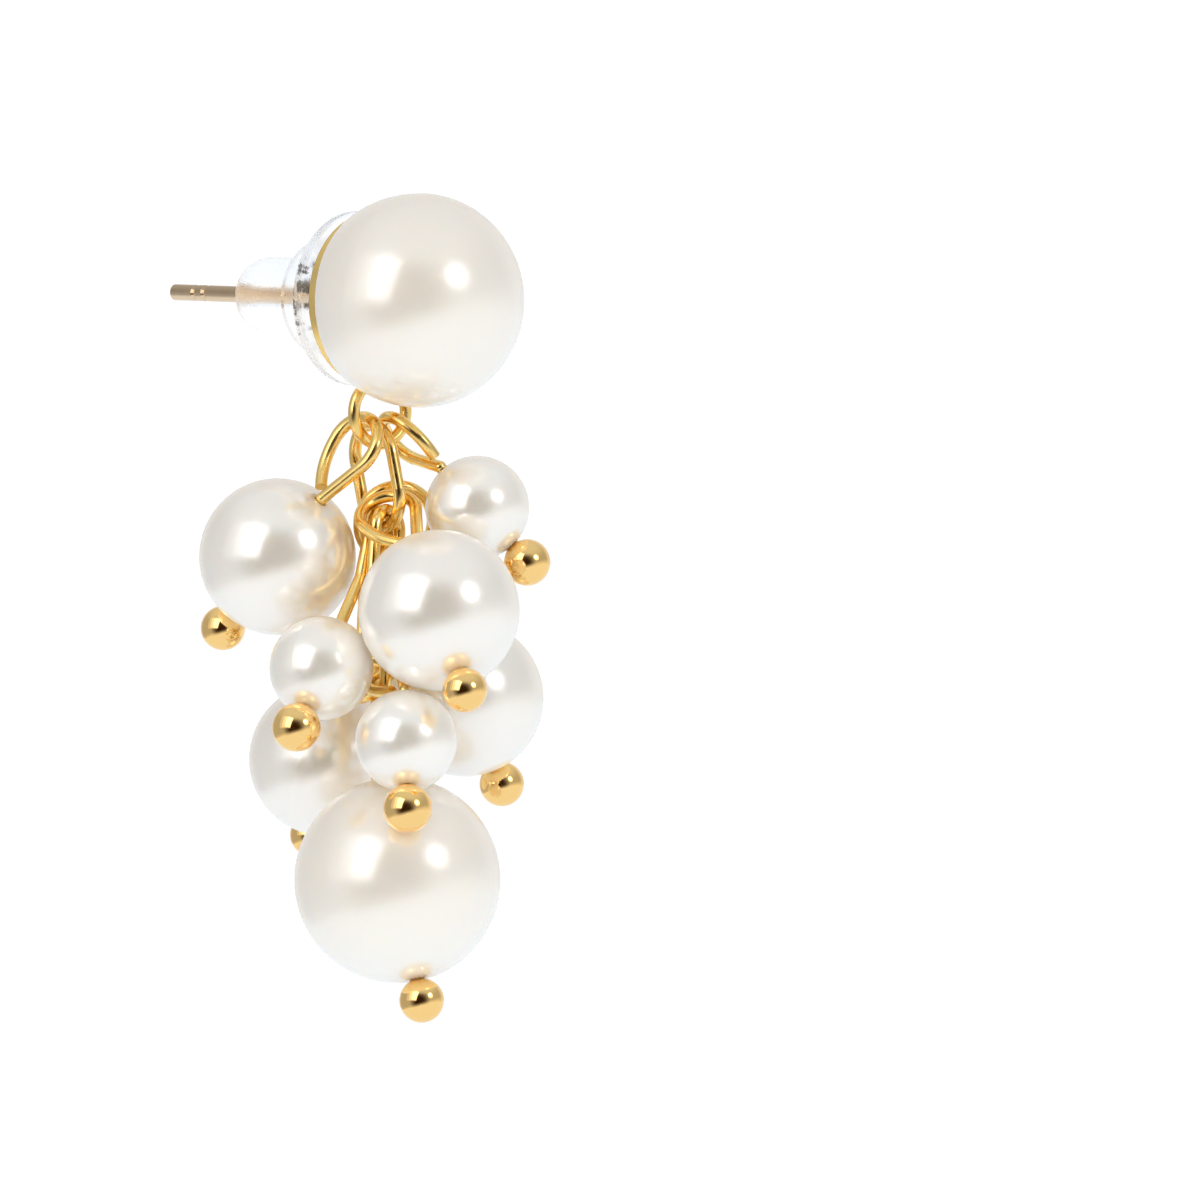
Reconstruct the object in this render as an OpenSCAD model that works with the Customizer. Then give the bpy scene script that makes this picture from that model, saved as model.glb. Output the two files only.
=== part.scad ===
// Drop earring: a stud pearl on a post, and a cluster of drilled pearls that hangs below it.
// The origin is on the post's axis at the back face of the gold pad, where the ear lobe sits.
// +Y runs back along the post, -Y is the wearer's front and +Z is up.

/* [Stud pearl] */
// Width of the stud pearl
stud_d = 10.5; // [9.5:0.1:11.5]
// Depth of its front, from the widest place forward
stud_front = 5.0; // [4.6:0.1:5.4]
// Depth of its back, from the widest place to the flat that is glued to the pad
stud_back = 2.78; // [2.7:0.02:2.9]
// Half length of the oval that the back's side follows
stud_back_axis = 5.6; // [5.4:0.1:5.8]
// Place on that oval where the rounded back edge begins
stud_edge_angle = 26; // [25:1:27]

/* [Pad, post and ring] */
// Width of the gold pad
pad_d = 8.45; // [8:0.05:8.5]
// Thickness of the pad
pad_t = 0.72; // [0.6:0.02:0.8]
// Width of the post
post_d = 0.8; // [0.7:0.01:0.9]
// Length of the post behind the pad
post_len = 13.7; // [13:0.1:16]
// Distance from the post's tip to the middle of its notched stretch
notch_from_tip = 2.05; // [1.5:0.05:3]
// Depth of the two V-shaped notches
notch_depth = 0.08; // [0.05:0.01:0.1]
// Width of the solder boss at the post's root
boss_d = 1.9; // [1.2:0.1:2.4]
// Width of the fixed ring below the pad, to the middle of its wire
ring_d = 3.12; // [3:0.02:3.2]
// Thickness of the ring's wire
ring_wire = 0.59; // [0.5:0.01:0.6]
// Turn of the ring about the vertical
ring_turn = -9; // [-10:1:-6]

/* [Clutch] */
// Width of the clutch's thin disc
disc_d = 8.54; // [7:0.02:9]
// Thickness of the disc
disc_t = 0.65; // [0.5:0.05:0.9]
// Gap between the pad and the disc
clutch_gap = 0.48; // [0.48:0.01:1]
// Width of the clutch's collar
collar_d = 5.8; // [5:0.1:6.4]
// Length of the collar
collar_len = 2.4; // [1.5:0.1:3]
// Width of the clutch's bullet
bullet_d = 3.8; // [3:0.1:4.4]
// Length of the clutch from end to end
clutch_len = 8.1; // [7:0.1:9]

/* [Wire and drilling] */
// Thickness of the wire of the links and eyes
wire_d = 0.63; // [0.5:0.01:0.64]
// Width of the holes drilled through the pearls
bore_d = 0.72; // [0.66:0.02:0.76]

/* [Cluster] */
// Turn of the hanging cluster about the vertical, away from the stud's front
cluster_turn = -45; // [-45:1:-45]

/* [Hidden] */
$fn = 48;
stud_r = stud_d / 2;
pad_r = pad_d / 2;
post_r = post_d / 2;
ring_r = ring_d / 2;
wire_r = wire_d / 2;
bore_r = bore_d / 2;
// Straight wire and stems are a hair thinner than the bends, so that no two skins coincide
straight_r = wire_r - 0.01;
stem_r = wire_r - 0.02;
// Length by which straight wire runs into a bend
lap = 0.05;
// Distance of an eye's cut end from its straight side, between the middles of the wires
eye_gape = 0.7;
// Gap between the pad and the pearl that is glued to it, and between a pin's head and its pearl
glue_gap = 0.02;
stud_y = -(pad_t + glue_gap + stud_back);
// The ring's middle: a little off the post's plane, so far below it that the pad's edge takes in the
// top of the ring
ring_centre = [0.70, -0.04, -5.58];
bevel = 0.08;
// Play between the post and the clutch's bore
clutch_play = 0.02;
pearl_white = [0.96, 0.93, 0.89];
gold = [0.85, 0.68, 0.36];
clear = [0.92, 0.93, 0.94, 0.5];

// The cluster's own frame is [across, back, up] from the origin, turned by cluster_turn.
// Columns of a link's row: top and bottom of its middle line, its width there, and the way it faces
NAME = 0;
TOP = 1;
BOTTOM = 2;
WIDTH = 3;
FACING = 4;
LINKS = [
    ["link_1", [-0.05, 1.05, -6.25], [0.85, 0.55, -11.2], 3.25, -55],
    ["link_2", [0.95, 0.4, -10.4], [0.7, -0.4, -14.45], 2, -125],
    ["link_3", [0.75, -0.2, -13.75], [0.55, -0.9, -17.75], 2, -20],
    ["link_4", [0.65, -1, -16.95], [0.55, -1.1, -21.1], 2.4, -80],
];

// Columns of a charm's row: width of the pearl and of the pin's head, the pearl's centre, the way
// from there to the head, the stem's length above the pearl, the top of the eye's middle line,
// the eye's width there, and the way that the eye is widest
PEARL_D = 1;
HEAD_D = 2;
CENTRE = 3;
TO_HEAD = 4;
STEM = 5;
HANG = 6;
EYE_W = 7;
WIDEST = 8;
CHARMS = [
    ["a", 7.7, 2.2, [-4.5, 1.1, -12.7], [-7, 5, -9.3], 0.15, [0.05, -0.1, -5.9], 3.05, [0.5, -0.8, -0.4]],
    ["b", 5.1, 2.3, [5.3, 0.05, -10.25], [2.1, -0.2, -2.3], 0.15, [0.7, 1.35, -6.1], 2.7, [-0.3, 0.9, -0.3]],
    ["c", 7.9, 2.2, [3.45, -5.45, -15.05], [1.6, -3.8, -4.7], 0.2, [0.25, 0.4, -9.9], 2.8, [0.8, 0.4, 0.5]],
    ["d", 5.1, 2.4, [-2.3, -3.85, -17.95], [-1, -1.7, -2.3], 3.25, [0.85, 1.5, -10.65], 1.7, [-1, -1.4, 0.8]],
    ["e", 7.7, 2.2, [4.7, 2.2, -19.7], [6, 5, -14.4], 0.15, [0.45, -1.55, -14.35], 2.35, [0.2, -0.6, 0.8]],
    ["f", 5, 2.4, [1.85, -5.9, -21.4], [0.1, -2.1, -4], 0.2, [0.5, -1.45, -18.45], 1.75, [0.9, -0.4, 0.3]],
    ["g", 7.6, 2.1, [-2.15, 5.35, -22.85], [-2, 7, -10], 0.15, [1.05, -0.6, -18.3], 2.45, [-1, -1, -1.4]],
    ["h", 10.1, 2.2, [1.4, -2.5, -28.4], [0.9, -1, -4.4], 0.25, [0.7, -1, -20.15], 1.9, [0.9, -0.3, 0]],
    ["i", 5, 2.3, [3.05, 4.8, -14.05], [3.2, 4, -1.1], 1.3, [1.8, 1.4, -9.3], 3.7, [-1, -0.2, -0.2]],
];

function unit(v) = v / norm(v);

// A turn given as arc length over radius, in degrees
function degrees(turn) = turn * 180 / PI;

// Where a pin's stem ends above its pearl and its eye begins
function eye_base(row) = row[CENTRE] - unit(row[TO_HEAD]) * (row[PEARL_D] / 2 + row[STEM]);

// Distance from a pearl's centre to its pin's head, which sits on the rim of the hole
function head_reach(row) =
    sqrt(pow(row[PEARL_D] / 2, 2) - pow(bore_r, 2))
    + sqrt(pow(row[HEAD_D] / 2, 2) - pow(bore_r, 2)) + glue_gap;

// Moves a shape to a point, with its Z along the axis and its X turned to the given side
module placed(point, axis, side) {
    z = unit(axis);
    x = unit(side - z * (side * z));
    y = cross(z, x);
    multmatrix([
        [x.x, y.x, z.x, point.x],
        [x.y, y.y, z.y, point.y],
        [x.z, y.z, z.z, point.z],
        [0, 0, 0, 1],
    ]) children();
}

// Straight round wire from one point to another
module straight(from, to, radius) {
    way = to - from;
    placed(from, way, abs(unit(way).z) > 0.9 ? [1, 0, 0] : [0, 0, 1]) cylinder(r = radius, h = norm(way));
}

// A bend of wire in the XZ plane, from one angle to another, counted from +X towards +Z
module bend(radius, from, to, thickness = wire_r) {
    rotate([90, 0, 0]) rotate([0, 0, from]) rotate_extrude(angle = to - from)
        translate([radius, 0]) circle(thickness);
}

// Lays a shape out in the hanging cluster's own frame
module in_cluster() {
    rotate([0, 0, cluster_turn]) children();
}

// Turns a shape that is drawn along +Z to lie along the post, with +Z to the back
module along_post(y = 0) {
    translate([0, y, 0]) rotate([-90, 0, 0]) children();
}

// Half outline of the stud pearl: a flattened front, an oval back and a rounded edge to the flat
module stud_outline() {
    edge_y = stud_back_axis * sin(stud_edge_angle);
    across = stud_back_axis * cos(stud_edge_angle);
    along = stud_r * sin(stud_edge_angle);
    slant = norm([across, along]);
    edge_r = (stud_back - edge_y) / (1 - along / slant);
    edge_x = stud_r * cos(stud_edge_angle) - edge_r * across / slant;
    intersection() {
        scale([1, stud_front / stud_r]) circle(stud_r);
        translate([0, -stud_r]) square([stud_r, stud_r]);
    }
    intersection() {
        scale([1, stud_back_axis / stud_r]) circle(stud_r);
        square([stud_r, edge_y]);
    }
    translate([edge_x, stud_back - edge_r]) circle(edge_r);
    square([edge_x, stud_back]);
}

module stud_pearl() {
    color(pearl_white) along_post(stud_y) rotate_extrude() stud_outline();
}

// The pad's round plate with a small bevel at both edges
module pad() {
    along_post(-pad_t) rotate_extrude() polygon([
        [0, 0],
        [pad_r - bevel, 0],
        [pad_r, bevel],
        [pad_r, pad_t - bevel],
        [pad_r - bevel, pad_t],
        [0, pad_t],
    ]);
}

// The post: a soldered root, a plain shaft, a notched stretch and a bevelled tip
module post() {
    boss_h = 0.25;
    notch_w = 0.3;
    notch_r = post_r - notch_depth;
    band_w = 0.4;
    notch_y = post_len - notch_from_tip;
    tip = 0.12;
    along_post() rotate_extrude() polygon([
        [0, -pad_t / 2],
        [boss_d / 2, -pad_t / 2],
        [boss_d / 2, boss_h / 3],
        [boss_d / 4, boss_h],
        [post_r, boss_h],
        [post_r, notch_y - band_w / 2 - notch_w],
        [notch_r, notch_y - band_w / 2 - notch_w / 2],
        [post_r, notch_y - band_w / 2],
        [post_r, notch_y + band_w / 2],
        [notch_r, notch_y + band_w / 2 + notch_w / 2],
        [post_r, notch_y + band_w / 2 + notch_w],
        [post_r, post_len - tip],
        [post_r - tip, post_len],
        [0, post_len],
    ]);
}

// The ring that is soldered to the pad's lower edge and carries the cluster
module ring() {
    translate(ring_centre) rotate([0, 0, ring_turn]) rotate([90, 0, 0])
        rotate_extrude() translate([ring_r, 0]) circle(ring_wire / 2);
}

module stud_base() {
    color(gold) union() {
        pad();
        post();
        ring();
    }
}

// The clear ear back: a thin disc, a collar and a bullet, bored for the post
module clutch() {
    bullet_r = bullet_d / 2;
    dome_y = clutch_len - bullet_r;
    collar_end = disc_t + collar_len;
    bore = post_r + clutch_play;
    color(clear) along_post(clutch_gap) difference() {
        union() {
            rotate_extrude() polygon([
                [0, 0],
                [disc_d / 2 - bevel, 0],
                [disc_d / 2, bevel],
                [disc_d / 2, disc_t - bevel * 2],
                [disc_d / 2 - bevel * 2, disc_t],
                [collar_d / 2, disc_t + bevel * 2],
                [collar_d / 2 - bevel, collar_end - bevel * 3],
                [collar_d / 2 - bevel * 4, collar_end],
                [bullet_r, collar_end + bevel * 3],
                [bullet_r, dome_y],
                [0, dome_y],
            ]);
            translate([0, 0, dome_y]) sphere(bullet_r);
        }
        translate([0, 0, -1]) cylinder(r = bore, h = clutch_len + 2);
    }
}

// An oval link of round wire
module link(row) {
    way = row[BOTTOM] - row[TOP];
    radius = row[WIDTH] / 2;
    side = [cos(row[FACING]), sin(row[FACING]), 0];
    far = norm(way) - radius;
    color(gold) in_cluster() placed(row[TOP], way, side) {
        translate([0, 0, radius]) bend(radius, 180, 360);
        translate([0, 0, far]) bend(radius, 0, 180);
        for (x = [-radius, radius]) {
            straight([x, 0, radius - lap], [x, 0, far + lap], straight_r);
        }
    }
}

// A drilled pearl
module pearl(row) {
    radius = row[PEARL_D] / 2;
    color(pearl_white) in_cluster() placed(row[CENTRE], row[TO_HEAD], row[WIDEST]) difference() {
        sphere(radius);
        translate([0, 0, -radius - 1]) cylinder(r = bore_r, h = 2 * radius + 2);
    }
}

// A pin's eye: the wire leaves its base straight, goes round the top and comes back in a wide
// curve on the other side, where its cut end stops short of the base
module eye(reach, width) {
    radius = width / 2;
    far = reach - radius;
    spread = asin(radius / far);
    leg = radius * [cos(spread), 0, -sin(spread)] + [0, 0, far];
    curve_x = (far * far - radius * radius) / (2 * radius);
    curve_r = radius + curve_x;
    whole_turn = atan2(far, curve_x);
    open_turn = degrees(eye_gape / sin(spread + whole_turn) / curve_r);
    sphere(wire_r);
    straight([0, 0, 0], leg * (1 + lap / norm(leg)), straight_r);
    translate([0, 0, far]) bend(radius, -spread, 180);
    translate([curve_x, 0, far])
        bend(curve_r, 180 - degrees(lap / curve_r), 180 + whole_turn - open_turn, straight_r);
}

// A head pin: its head below the pearl, its stem through it and its eye above
module pin(row) {
    base = eye_base(row);
    head = row[CENTRE] + unit(row[TO_HEAD]) * head_reach(row);
    way = row[HANG] - base;
    color(gold) in_cluster() {
        translate(head) sphere(row[HEAD_D] / 2);
        straight(head, base, stem_r);
        placed(base, way, row[WIDEST]) eye(norm(way), row[EYE_W]);
    }
}

stud_base();
stud_pearl();
clutch();
for (row = LINKS) {
    link(row);
}
for (row = CHARMS) {
    pearl(row);
    pin(row);
}
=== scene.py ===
"""Looks for a pearl cluster drop earring: gold plate, pearl coating and a clear soft ear back.

The origin is on the post at the back of the gold pad. +Y runs back along the post, -Y is the
wearer's front and +Z is up. Lengths are in metres.
"""

import math

import bpy
from mathutils import Matrix, Vector


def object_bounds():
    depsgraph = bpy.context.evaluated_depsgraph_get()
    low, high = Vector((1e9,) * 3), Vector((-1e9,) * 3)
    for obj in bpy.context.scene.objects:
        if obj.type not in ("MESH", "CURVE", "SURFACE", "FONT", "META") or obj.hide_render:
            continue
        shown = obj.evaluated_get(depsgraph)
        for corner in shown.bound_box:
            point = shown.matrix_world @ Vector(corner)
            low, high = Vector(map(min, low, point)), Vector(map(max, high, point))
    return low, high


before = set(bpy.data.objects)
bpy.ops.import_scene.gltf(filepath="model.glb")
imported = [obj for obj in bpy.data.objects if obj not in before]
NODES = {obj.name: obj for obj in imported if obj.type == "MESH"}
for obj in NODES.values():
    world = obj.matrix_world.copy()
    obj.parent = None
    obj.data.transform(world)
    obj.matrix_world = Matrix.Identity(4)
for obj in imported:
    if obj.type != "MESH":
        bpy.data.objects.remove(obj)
CAD_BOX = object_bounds()

MM = 0.001

# The photograph: its size, its scale and where the stud pearl's centre shows in it, in pixels
PHOTO_SIZE = 1200
PIXELS_PER_MM = 20.4
STUD_IN_PHOTO = (419.5, 300.5)
# The camera's place as seen from the earring: its azimuth runs from -Y towards +X
VIEW_AZIMUTH = math.radians(-45)
VIEW_ELEVATION = math.radians(2.5)
CAMERA_DISTANCE = 1.5
CLIP_START = 0.01
CLIP_END = 20
# The middle of the stud pearl, where it is widest
STUD_CENTRE = Vector((0, -3.52, 0)) * MM


def facing(azimuth, elevation):
    """The direction from the object towards a viewer at an azimuth and elevation in radians."""
    level = math.cos(elevation)
    return Vector((level * math.sin(azimuth), -level * math.cos(azimuth), math.sin(elevation)))


TOWARDS_CAMERA = facing(VIEW_AZIMUTH, 0)
CAMERA_RIGHT = Vector((math.cos(VIEW_AZIMUTH), math.sin(VIEW_AZIMUTH), 0))


def aimed(position, towards):
    """A matrix that puts a camera or light at a position, looking along a direction."""
    turn = towards.to_track_quat("-Z", "Y")
    return Matrix.Translation(position) @ turn.to_matrix().to_4x4()


def add_object(name, data):
    """Adds an object to the scene."""
    added = bpy.data.objects.new(name, data)
    bpy.context.collection.objects.link(added)
    return added


# Node trees

# A Mix node repeats the names of its sockets for each kind of data. These are the colour ones.
MIX_FACTOR = 0
MIX_FIRST = 6
MIX_SECOND = 7
MIX_RESULT = 2


def rgb(red, green, blue):
    """An opaque colour."""
    return (red, green, blue, 1.0)


class Nodes:
    """A short way to build a node tree."""

    def __init__(self, owner):
        owner.use_nodes = True
        self.tree = owner.node_tree
        self.tree.nodes.clear()

    def add(self, kind, inputs=None, **settings):
        """Adds a node. Each of its inputs is set to a value or linked to a socket."""
        node = self.tree.nodes.new(kind)
        for name, value in settings.items():
            setattr(node, name, value)
        for name, value in (inputs or {}).items():
            if isinstance(value, bpy.types.NodeSocket):
                self.tree.links.new(value, node.inputs[name])
            else:
                node.inputs[name].default_value = value
        return node

    def calculate(self, operation, *values, clamp=False):
        """Works out a number from one or two others."""
        inputs = dict(enumerate(values))
        return self.add("ShaderNodeMath", inputs, operation=operation, use_clamp=clamp).outputs[0]

    def times(self, first, second):
        """Multiplies two numbers."""
        return self.calculate("MULTIPLY", first, second)

    def apart(self, value, place):
        """How far a number is from another, on either side."""
        return self.calculate("ABSOLUTE", self.calculate("SUBTRACT", value, place))

    def parts(self, vector):
        """The X, Y and Z of a vector."""
        return self.add("ShaderNodeSeparateXYZ", {0: vector}).outputs

    def along(self, vector, direction):
        """How far a vector reaches along a direction."""
        inputs = {0: vector, 1: direction}
        return self.add("ShaderNodeVectorMath", inputs, operation="DOT_PRODUCT").outputs["Value"]

    def from_post_axis(self, where):
        """How far a place is from the Y axis, which is the post's."""
        inputs = {0: where, 1: (1.0, 0.0, 1.0)}
        across = self.add("ShaderNodeVectorMath", inputs, operation="MULTIPLY").outputs["Vector"]
        return self.add("ShaderNodeVectorMath", {0: across}, operation="LENGTH").outputs["Value"]

    def blend(self, share, first, second):
        """Mixes two colours: a share of 0 gives the first, and 1 the second."""
        inputs = {MIX_FACTOR: share, MIX_FIRST: first, MIX_SECOND: second}
        return self.add("ShaderNodeMix", inputs, data_type="RGBA").outputs[MIX_RESULT]

    def spread(self, value, span, onto):
        """Maps a value from one span onto another, smoothly and without running past its ends."""
        inputs = {
            "Value": value,
            "From Min": span[0],
            "From Max": span[1],
            "To Min": onto[0],
            "To Max": onto[1],
        }
        node = self.add("ShaderNodeMapRange", inputs, interpolation_type="SMOOTHSTEP")
        return node.outputs["Result"]

    def rise(self, value, low, high):
        """Rises smoothly from 0 at the low value to 1 at the high one."""
        return self.spread(value, (low, high), (0.0, 1.0))

    def fall(self, value, low, high):
        """Falls smoothly from 1 at the low value to 0 at the high one."""
        return self.spread(value, (low, high), (1.0, 0.0))

    def noise(self, where, size, detail=2.0):
        """Noise whose features are about the given size."""
        inputs = {"Vector": where, "Scale": 1 / size, "Detail": detail}
        return self.add("ShaderNodeTexNoise", inputs).outputs["Fac"]

    def bump(self, height, strength, depth):
        """A surface normal that follows small rises and hollows."""
        inputs = {"Height": height, "Strength": strength, "Distance": depth}
        return self.add("ShaderNodeBump", inputs).outputs["Normal"]

    def show(self, shader, output="ShaderNodeOutputMaterial"):
        """Ends the tree with a shader."""
        self.add(output, {"Surface": shader.outputs[0]})


def start_material(name):
    """A new material, its nodes and the texture coordinates of its surface."""
    material = bpy.data.materials.new(name)
    nodes = Nodes(material)
    return material, nodes, nodes.add("ShaderNodeTexCoord").outputs


# Gold plating: it wanders between two tints, and its haze between two roughnesses
GOLD_TINTS = (rgb(0.88, 0.58, 0.17), rgb(0.95, 0.68, 0.26))
GOLD_PATCHES = 1.6 * MM
GOLD_ROUGHNESS = (0.15, 0.27)
GOLD_HAZE = 0.5 * MM
GOLD_HAZE_SPAN = (0.35, 0.75)
GOLD_DENTS = 0.7 * MM
# The post is browner than the pad, and painted shade makes it darker above than below: its tints
# below and above, the heights between which they meet, and the distances from the pad between
# which the brown begins
POST_PAINTED_SHADE_TINTS = (rgb(0.76, 0.58, 0.39), rgb(0.52, 0.37, 0.23))
POST_PAINTED_SHADE_HEIGHTS = (-0.15 * MM, 0.1 * MM)
POST_START = (0.3 * MM, 1 * MM)
# The pad behind the stud pearl: the middle of its thickness, and a radius just inside its edge
PAD_MIDDLE = -0.36 * MM
PAD_RADIUS = 4.2 * MM
# Painted shade: a brown line follows both edges of the pad's rim: its tint, its distance from the
# middle of the thickness, how far in from the radius it starts, and how soon it ends beyond that
RIM_SHADE_TINT = rgb(0.42, 0.24, 0.08)
RIM_LINE = (0.22 * MM, 0.32 * MM)
RIM_DEPTH = 0.3 * MM
RIM_END = 0.1 * MM
# A pin's head is polished. The polish ends inside the pearl, between these shares of the pin's
# height, and leaves this share of the wire's roughness.
HEAD_TINT = rgb(0.98, 0.64, 0.24)
HEAD_END = (0.25, 0.45)
HEAD_ROUGHNESS = 0.45


def stud_tint(nodes, where, tint):
    """The gold's tint on the stud: browner on its post, with painted shade on the post's upper side
    and along the rim's edges.
    """
    parts = nodes.parts(where)
    # Painted shade: the post's upper side is darker than its lower side
    painted_shade_above = nodes.rise(parts["Z"], *POST_PAINTED_SHADE_HEIGHTS)
    on_post = nodes.rise(parts["Y"], *POST_START)
    tint = nodes.blend(on_post, tint, nodes.blend(painted_shade_above, *POST_PAINTED_SHADE_TINTS))
    # Painted shade: brown lines along both edges of the pad's rim
    on_line = nodes.rise(nodes.apart(parts["Y"], PAD_MIDDLE), *RIM_LINE)
    radius = nodes.from_post_axis(where)
    near_edge = nodes.rise(radius, PAD_RADIUS - RIM_DEPTH, PAD_RADIUS)
    within_edge = nodes.fall(radius, PAD_RADIUS, PAD_RADIUS + RIM_END)
    at_rim = nodes.times(within_edge, near_edge)
    return nodes.blend(nodes.times(on_line, at_rim), tint, RIM_SHADE_TINT)


def gold_plate(name, stud=False, pin=False):
    """Gold plating, hazy and a little uneven, for the stud, for pins or for plain wire."""
    material, nodes, places = start_material(name)
    where = places["Object"]
    tint = nodes.blend(nodes.noise(where, GOLD_PATCHES), *GOLD_TINTS)
    haze = nodes.noise(where, GOLD_HAZE, detail=4.0)
    roughness = nodes.spread(haze, GOLD_HAZE_SPAN, GOLD_ROUGHNESS)
    # The stud's tint carries painted shade on its post and along its rim
    if stud:
        tint = stud_tint(nodes, where, tint)
    if pin:
        on_head = nodes.fall(nodes.parts(places["Generated"])["Z"], *HEAD_END)
        tint = nodes.blend(on_head, tint, HEAD_TINT)
        roughness = nodes.times(roughness, nodes.spread(on_head, (0.0, 1.0), (1.0, HEAD_ROUGHNESS)))
    spots = nodes.noise(where, GOLD_DENTS, detail=1.0)
    nodes.show(nodes.add("ShaderNodeBsdfPrincipled", {
        "Base Color": tint,
        "Metallic": 1.0,
        "Roughness": roughness,
        "Normal": nodes.bump(spots, strength=0.15, depth=0.02 * MM),
    }))
    return material


# Pearl coating: cloudy tints, and a fine grain in its lacquer
PEARL_TINTS = (rgb(0.97, 0.878, 0.78), rgb(0.985, 0.908, 0.83))
PEARL_CLOUDS = 3 * MM
PEARL_GRAIN = 0.4 * MM
PEARL_GRAIN_SPAN = (0.3, 0.7)
LACQUER_ROUGHNESS = (0.19, 0.25)
# The lacquer mirrors more on the small and medium pearls than on the two large ones
LACQUER_IOR = 4.6
LARGE_LACQUER_IOR = 3.0
LARGE_PEARLS = ("stud_pearl", "pearl_h")


def pearl_coat(name, lacquer_ior):
    """Warm white pearl coating: a soft nacre lustre below a smooth clear lacquer."""
    material, nodes, places = start_material(name)
    where = places["Object"]
    grain = nodes.noise(where, PEARL_GRAIN, detail=3.0)
    nodes.show(nodes.add("ShaderNodeBsdfPrincipled", {
        "Base Color": nodes.blend(nodes.noise(where, PEARL_CLOUDS), *PEARL_TINTS),
        "Roughness": 0.5,
        "Subsurface Weight": 0.9,
        "Subsurface Radius": (1.0, 0.8, 0.6),
        "Subsurface Scale": 2 * MM,
        "Normal": nodes.bump(grain, strength=0.02, depth=0.01 * MM),
        "Coat Weight": 1.0,
        "Coat Roughness": nodes.spread(grain, PEARL_GRAIN_SPAN, LACQUER_ROUGHNESS),
        "Coat IOR": lacquer_ior,
    }))
    return material


# Clear plastic: it ripples, and this much haze is added between these places near its tip
PLASTIC_RIPPLES = 0.8 * MM
PLASTIC_RIPPLE_SPAN = (0.3, 0.7)
PLASTIC_ROUGHNESS = (0.2, 0.38)
TIP_HAZE = 0.4
TIP_START = (7.0 * MM, 7.8 * MM)
# Painted reflections: grey specks, for dark things seen in the plastic, lie at the root of its
# collar:
# their size, the heights of the noise that show as specks, and how far they reach along the post,
# and above and below it
PAINTED_SPECKS = 0.5 * MM
PAINTED_SPECK_SPAN = (0.53, 0.62)
COLLAR_ROOT = 1.3 * MM
PAINTED_SPECKS_ALONG = (0.4 * MM, 0.8 * MM)
PAINTED_SPECKS_ABOVE = (1.6 * MM, 2.0 * MM)


def clear_plastic(name):
    """Clear soft plastic with faint ripples, hazy at its tip, with grey specks of painted
    reflection at its collar's root.
    """
    material, nodes, places = start_material(name)
    where = places["Object"]
    parts = nodes.parts(where)
    ripples = nodes.noise(where, PLASTIC_RIPPLES)
    at_tip = nodes.spread(parts["Y"], TIP_START, (0.0, TIP_HAZE))
    rippled = nodes.spread(ripples, PLASTIC_RIPPLE_SPAN, PLASTIC_ROUGHNESS)
    clear = nodes.add("ShaderNodeBsdfPrincipled", {
        "Base Color": rgb(1.0, 1.0, 1.0),
        "Roughness": nodes.calculate("ADD", rippled, at_tip),
        "IOR": 1.2,
        "Specular Tint": rgb(1.0, 0.93, 0.86),
        "Transmission Weight": 1.0,
        "Normal": nodes.bump(ripples, strength=0.06, depth=0.05 * MM),
    })
    # Painted reflections: opaque grey specks at the collar's root stand in for dark things seen in
    # the plastic
    spots = nodes.rise(nodes.noise(where, PAINTED_SPECKS, detail=3.0), *PAINTED_SPECK_SPAN)
    near_root = nodes.fall(nodes.apart(parts["Y"], COLLAR_ROOT), *PAINTED_SPECKS_ALONG)
    near_height = nodes.fall(nodes.apart(parts["Z"], 0.0), *PAINTED_SPECKS_ABOVE)
    painted_dark_specks = nodes.times(spots, nodes.times(near_root, near_height))
    grey = nodes.add("ShaderNodeBsdfPrincipled", {
        "Base Color": rgb(0.2, 0.2, 0.21),
        "Roughness": 0.4,
    })
    shaders = {0: painted_dark_specks, 1: clear.outputs[0], 2: grey.outputs[0]}
    nodes.show(nodes.add("ShaderNodeMixShader", shaders))
    return material


# The room as gloss sees it: walls that are grey at eye level, and paler above, below and behind
WALL_LEVEL = rgb(0.48, 0.50, 0.53)
WALL_ABOVE = rgb(0.72, 0.78, 0.84)
WALL_BELOW = rgb(0.95, 0.96, 0.97)
WALL_BEHIND = rgb(0.80, 0.79, 0.78)
ABOVE_FROM = (0.35, 0.95)
BELOW_TO = (-0.45, -0.05)
BEHIND_TO = (-0.9, -0.5)
# A dark patch is in front, turned a little to the camera's left
DARK_TINT = rgb(0.03, 0.013, 0.004)
DARK_TURN = math.radians(-10)
DARK_AHEAD = (0.5, 0.97)
DARK_LOW_EDGE = (-0.5, -0.05)
DARK_HIGH_EDGE = (0.5, 0.9)
# The patch's low edge and the paler part below lean this much to the camera's left
LEAN = 0.28
# Other rays see plain colours
ROOM_WHITE = rgb(1.0, 1.0, 1.0)
ROOM_DIFFUSE = rgb(0.68, 0.63, 0.595)
ROOM_STRENGTH = 1.05
# A first reflection reaches the room at this ray depth. Later ones see white.
REFLECTION_DEPTH = 2


def room_walls(nodes):
    """The colour of the room in each direction, as the first reflections see it."""
    way = nodes.add("ShaderNodeTexCoord").outputs["Generated"]
    height = nodes.parts(way)["Z"]
    ahead = nodes.along(way, facing(VIEW_AZIMUTH + DARK_TURN, 0))
    slanted = nodes.along(way, Vector((0, 0, 1)) - CAMERA_RIGHT * LEAN)
    walls = nodes.blend(nodes.rise(height, *ABOVE_FROM), WALL_LEVEL, WALL_ABOVE)
    walls = nodes.blend(nodes.fall(ahead, *BEHIND_TO), walls, WALL_BEHIND)
    walls = nodes.blend(nodes.fall(slanted, *BELOW_TO), walls, WALL_BELOW)
    between = nodes.times(nodes.rise(slanted, *DARK_LOW_EDGE), nodes.fall(height, *DARK_HIGH_EDGE))
    dark = nodes.times(between, nodes.rise(ahead, *DARK_AHEAD))
    return nodes.blend(dark, walls, DARK_TINT)


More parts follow.
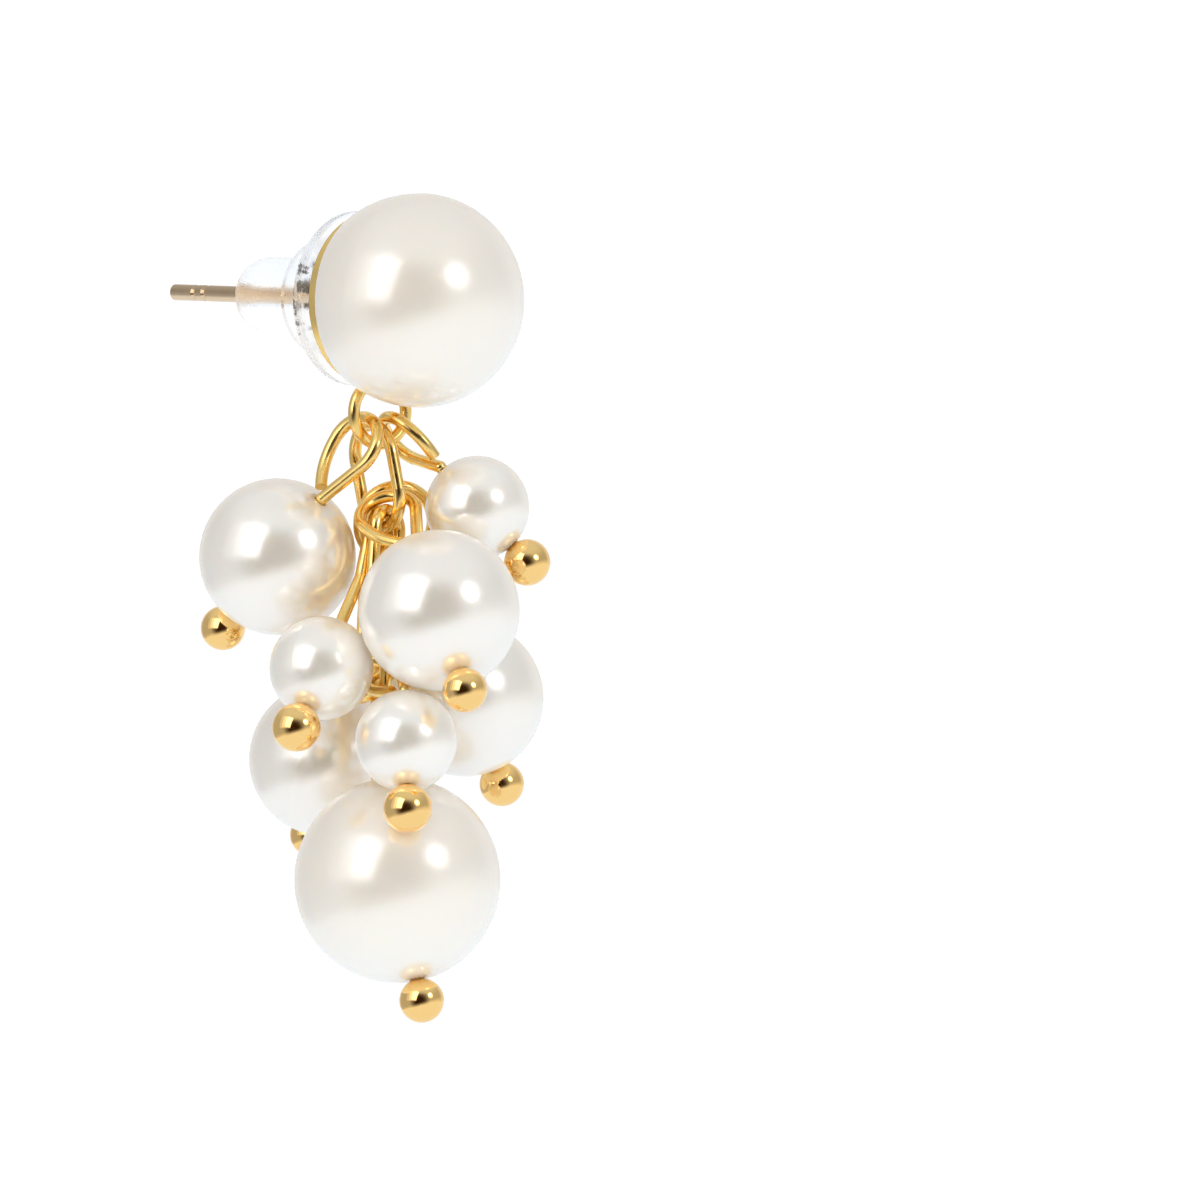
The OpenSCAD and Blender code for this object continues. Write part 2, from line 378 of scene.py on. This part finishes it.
def make_world():
    """A white room, which gloss sees as a studio with grey walls and a dark front."""
    world = bpy.data.worlds.new("studio")
    bpy.context.scene.world = world
    nodes = Nodes(world)
    walls = room_walls(nodes)
    ray = nodes.add("ShaderNodeLightPath").outputs
    glossy = ray["Is Glossy Ray"]
    mirrored = nodes.calculate("SUBTRACT", glossy, ray["Is Transmission Ray"], clamp=True)
    first = nodes.calculate("LESS_THAN", ray["Ray Depth"], REFLECTION_DEPTH + 0.5)
    colour = nodes.blend(nodes.times(mirrored, first), ROOM_WHITE, walls)
    colour = nodes.blend(ray["Is Diffuse Ray"], colour, ROOM_DIFFUSE)
    room = nodes.add("ShaderNodeBackground", {"Color": colour, "Strength": ROOM_STRENGTH})
    nodes.show(room, "ShaderNodeOutputWorld")


# The soft lights point at the middle of the earring
LIGHT_TARGET = Vector((0, 0, -15 * MM))


def make_light(name, azimuth, elevation, distance, size, watts, roll=0.0):
    """A soft light. Its azimuth is counted from the camera's, and all angles are in degrees."""
    data = bpy.data.lights.new(name, "AREA")
    data.shape = "RECTANGLE" if size[0] != size[1] else "DISK"
    data.size = size[0]
    data.size_y = size[1]
    data.energy = watts
    light = add_object(name, data)
    way = facing(VIEW_AZIMUTH + math.radians(azimuth), math.radians(elevation))
    turned = Matrix.Rotation(math.radians(roll), 4, "Z")
    light.matrix_world = aimed(LIGHT_TARGET + way * distance, -way) @ turned
    light.visible_diffuse = False


def make_fill(elevation, spread, strength, colour):
    """A faint soft light from the camera's side, which reaches in between the pearls."""
    data = bpy.data.lights.new("front_fill", "SUN")
    data.angle = math.radians(spread)
    data.energy = strength
    data.color = colour
    light = add_object("front_fill", data)
    way = facing(VIEW_AZIMUTH, math.radians(elevation))
    light.matrix_world = aimed(way, -way)
    light.visible_glossy = False


# The table lies this far below the earring. Its corners are counted to the camera's right and
# towards the camera.
FLOOR_DROP = 150 * MM
FLOOR_CORNERS = (
    (-0.28, -2.0),
    (-0.28, 0.05),
    (0.0, 0.42),
    (0.70, 0.56),
    (1.2, 0.60),
    (1.2, -2.0),
)


def make_floor():
    """A plain pale table below the earring."""
    low = CAD_BOX[0][2] - FLOOR_DROP
    corners = []
    for across, ahead in FLOOR_CORNERS:
        corners.append(CAMERA_RIGHT * across + TOWARDS_CAMERA * ahead + Vector((0, 0, low)))
    mesh = bpy.data.meshes.new("floor")
    mesh.from_pydata(corners, [], [tuple(range(len(corners)))])
    floor = add_object("floor", mesh)
    material = bpy.data.materials.new("table_white")
    nodes = Nodes(material)
    nodes.show(nodes.add("ShaderNodeBsdfPrincipled", {
        "Base Color": rgb(0.74, 0.81, 0.89),
        "Roughness": 0.8,
        "Emission Color": rgb(0.90, 1.0, 1.1),
        "Emission Strength": 0.4,
    }))
    mesh.materials.append(material)


def make_camera():
    """The photograph's view: almost level, from the wearer's front and side."""
    data = bpy.data.cameras.new("camera")
    camera = add_object("camera", data)
    towards = -facing(VIEW_AZIMUTH, VIEW_ELEVATION)
    up = CAMERA_RIGHT.cross(towards)
    focal_pixels = PIXELS_PER_MM * CAMERA_DISTANCE / MM
    per_metre = focal_pixels / (CAMERA_DISTANCE + STUD_CENTRE.dot(towards))
    middle = PHOTO_SIZE / 2
    aim_across = STUD_CENTRE.dot(CAMERA_RIGHT) - (STUD_IN_PHOTO[0] - middle) / per_metre
    aim_up = STUD_CENTRE.dot(up) + (STUD_IN_PHOTO[1] - middle) / per_metre
    position = CAMERA_RIGHT * aim_across + up * aim_up - towards * CAMERA_DISTANCE
    camera.matrix_world = aimed(position, towards)
    data.angle = 2 * math.atan(middle / focal_pixels)
    data.clip_start = CLIP_START
    data.clip_end = CLIP_END
    bpy.context.scene.camera = camera


make_camera()
make_world()
make_floor()
# The pearls mirror a window on the left with two fainter glows round it, and a lamp on the right
make_light("left_softbox", -38, 26, distance=0.6, size=(0.30, 0.50), watts=0.65, roll=-6)
make_light("left_glow", -47, 24, distance=0.62, size=(0.48, 0.54), watts=0.38, roll=-4)
make_light("left_haze", -57, 22, distance=0.64, size=(0.68, 0.58), watts=0.32, roll=-2)
make_light("right_lamp", 49, 27, distance=0.6, size=(0.115, 0.115), watts=0.24)
make_light("right_glow", 51, 25, distance=0.64, size=(0.30, 0.30), watts=0.28)
make_fill(elevation=10, spread=40, strength=0.6, colour=(1.0, 0.93, 0.88))

GOLD = gold_plate("gold_plate")
GOLD_STUD = gold_plate("gold_plate_stud", stud=True)
GOLD_PIN = gold_plate("gold_plate_pin", pin=True)
PEARL = pearl_coat("pearl_coat", LACQUER_IOR)
LARGE_PEARL = pearl_coat("pearl_coat_large", LARGE_LACQUER_IOR)
CLEAR = clear_plastic("clear_plastic")


def material_of(name):
    """The material of a CAD node, by the node's name."""
    if name in LARGE_PEARLS:
        return LARGE_PEARL
    if name.startswith("pearl_"):
        return PEARL
    if name.startswith("pin_"):
        return GOLD_PIN
    if name == "stud_base":
        return GOLD_STUD
    if name == "clutch":
        return CLEAR
    return GOLD


for name, node in NODES.items():
    for slot in node.material_slots:
        slot.material = material_of(name)

bpy.context.scene.view_settings.view_transform = "Standard"
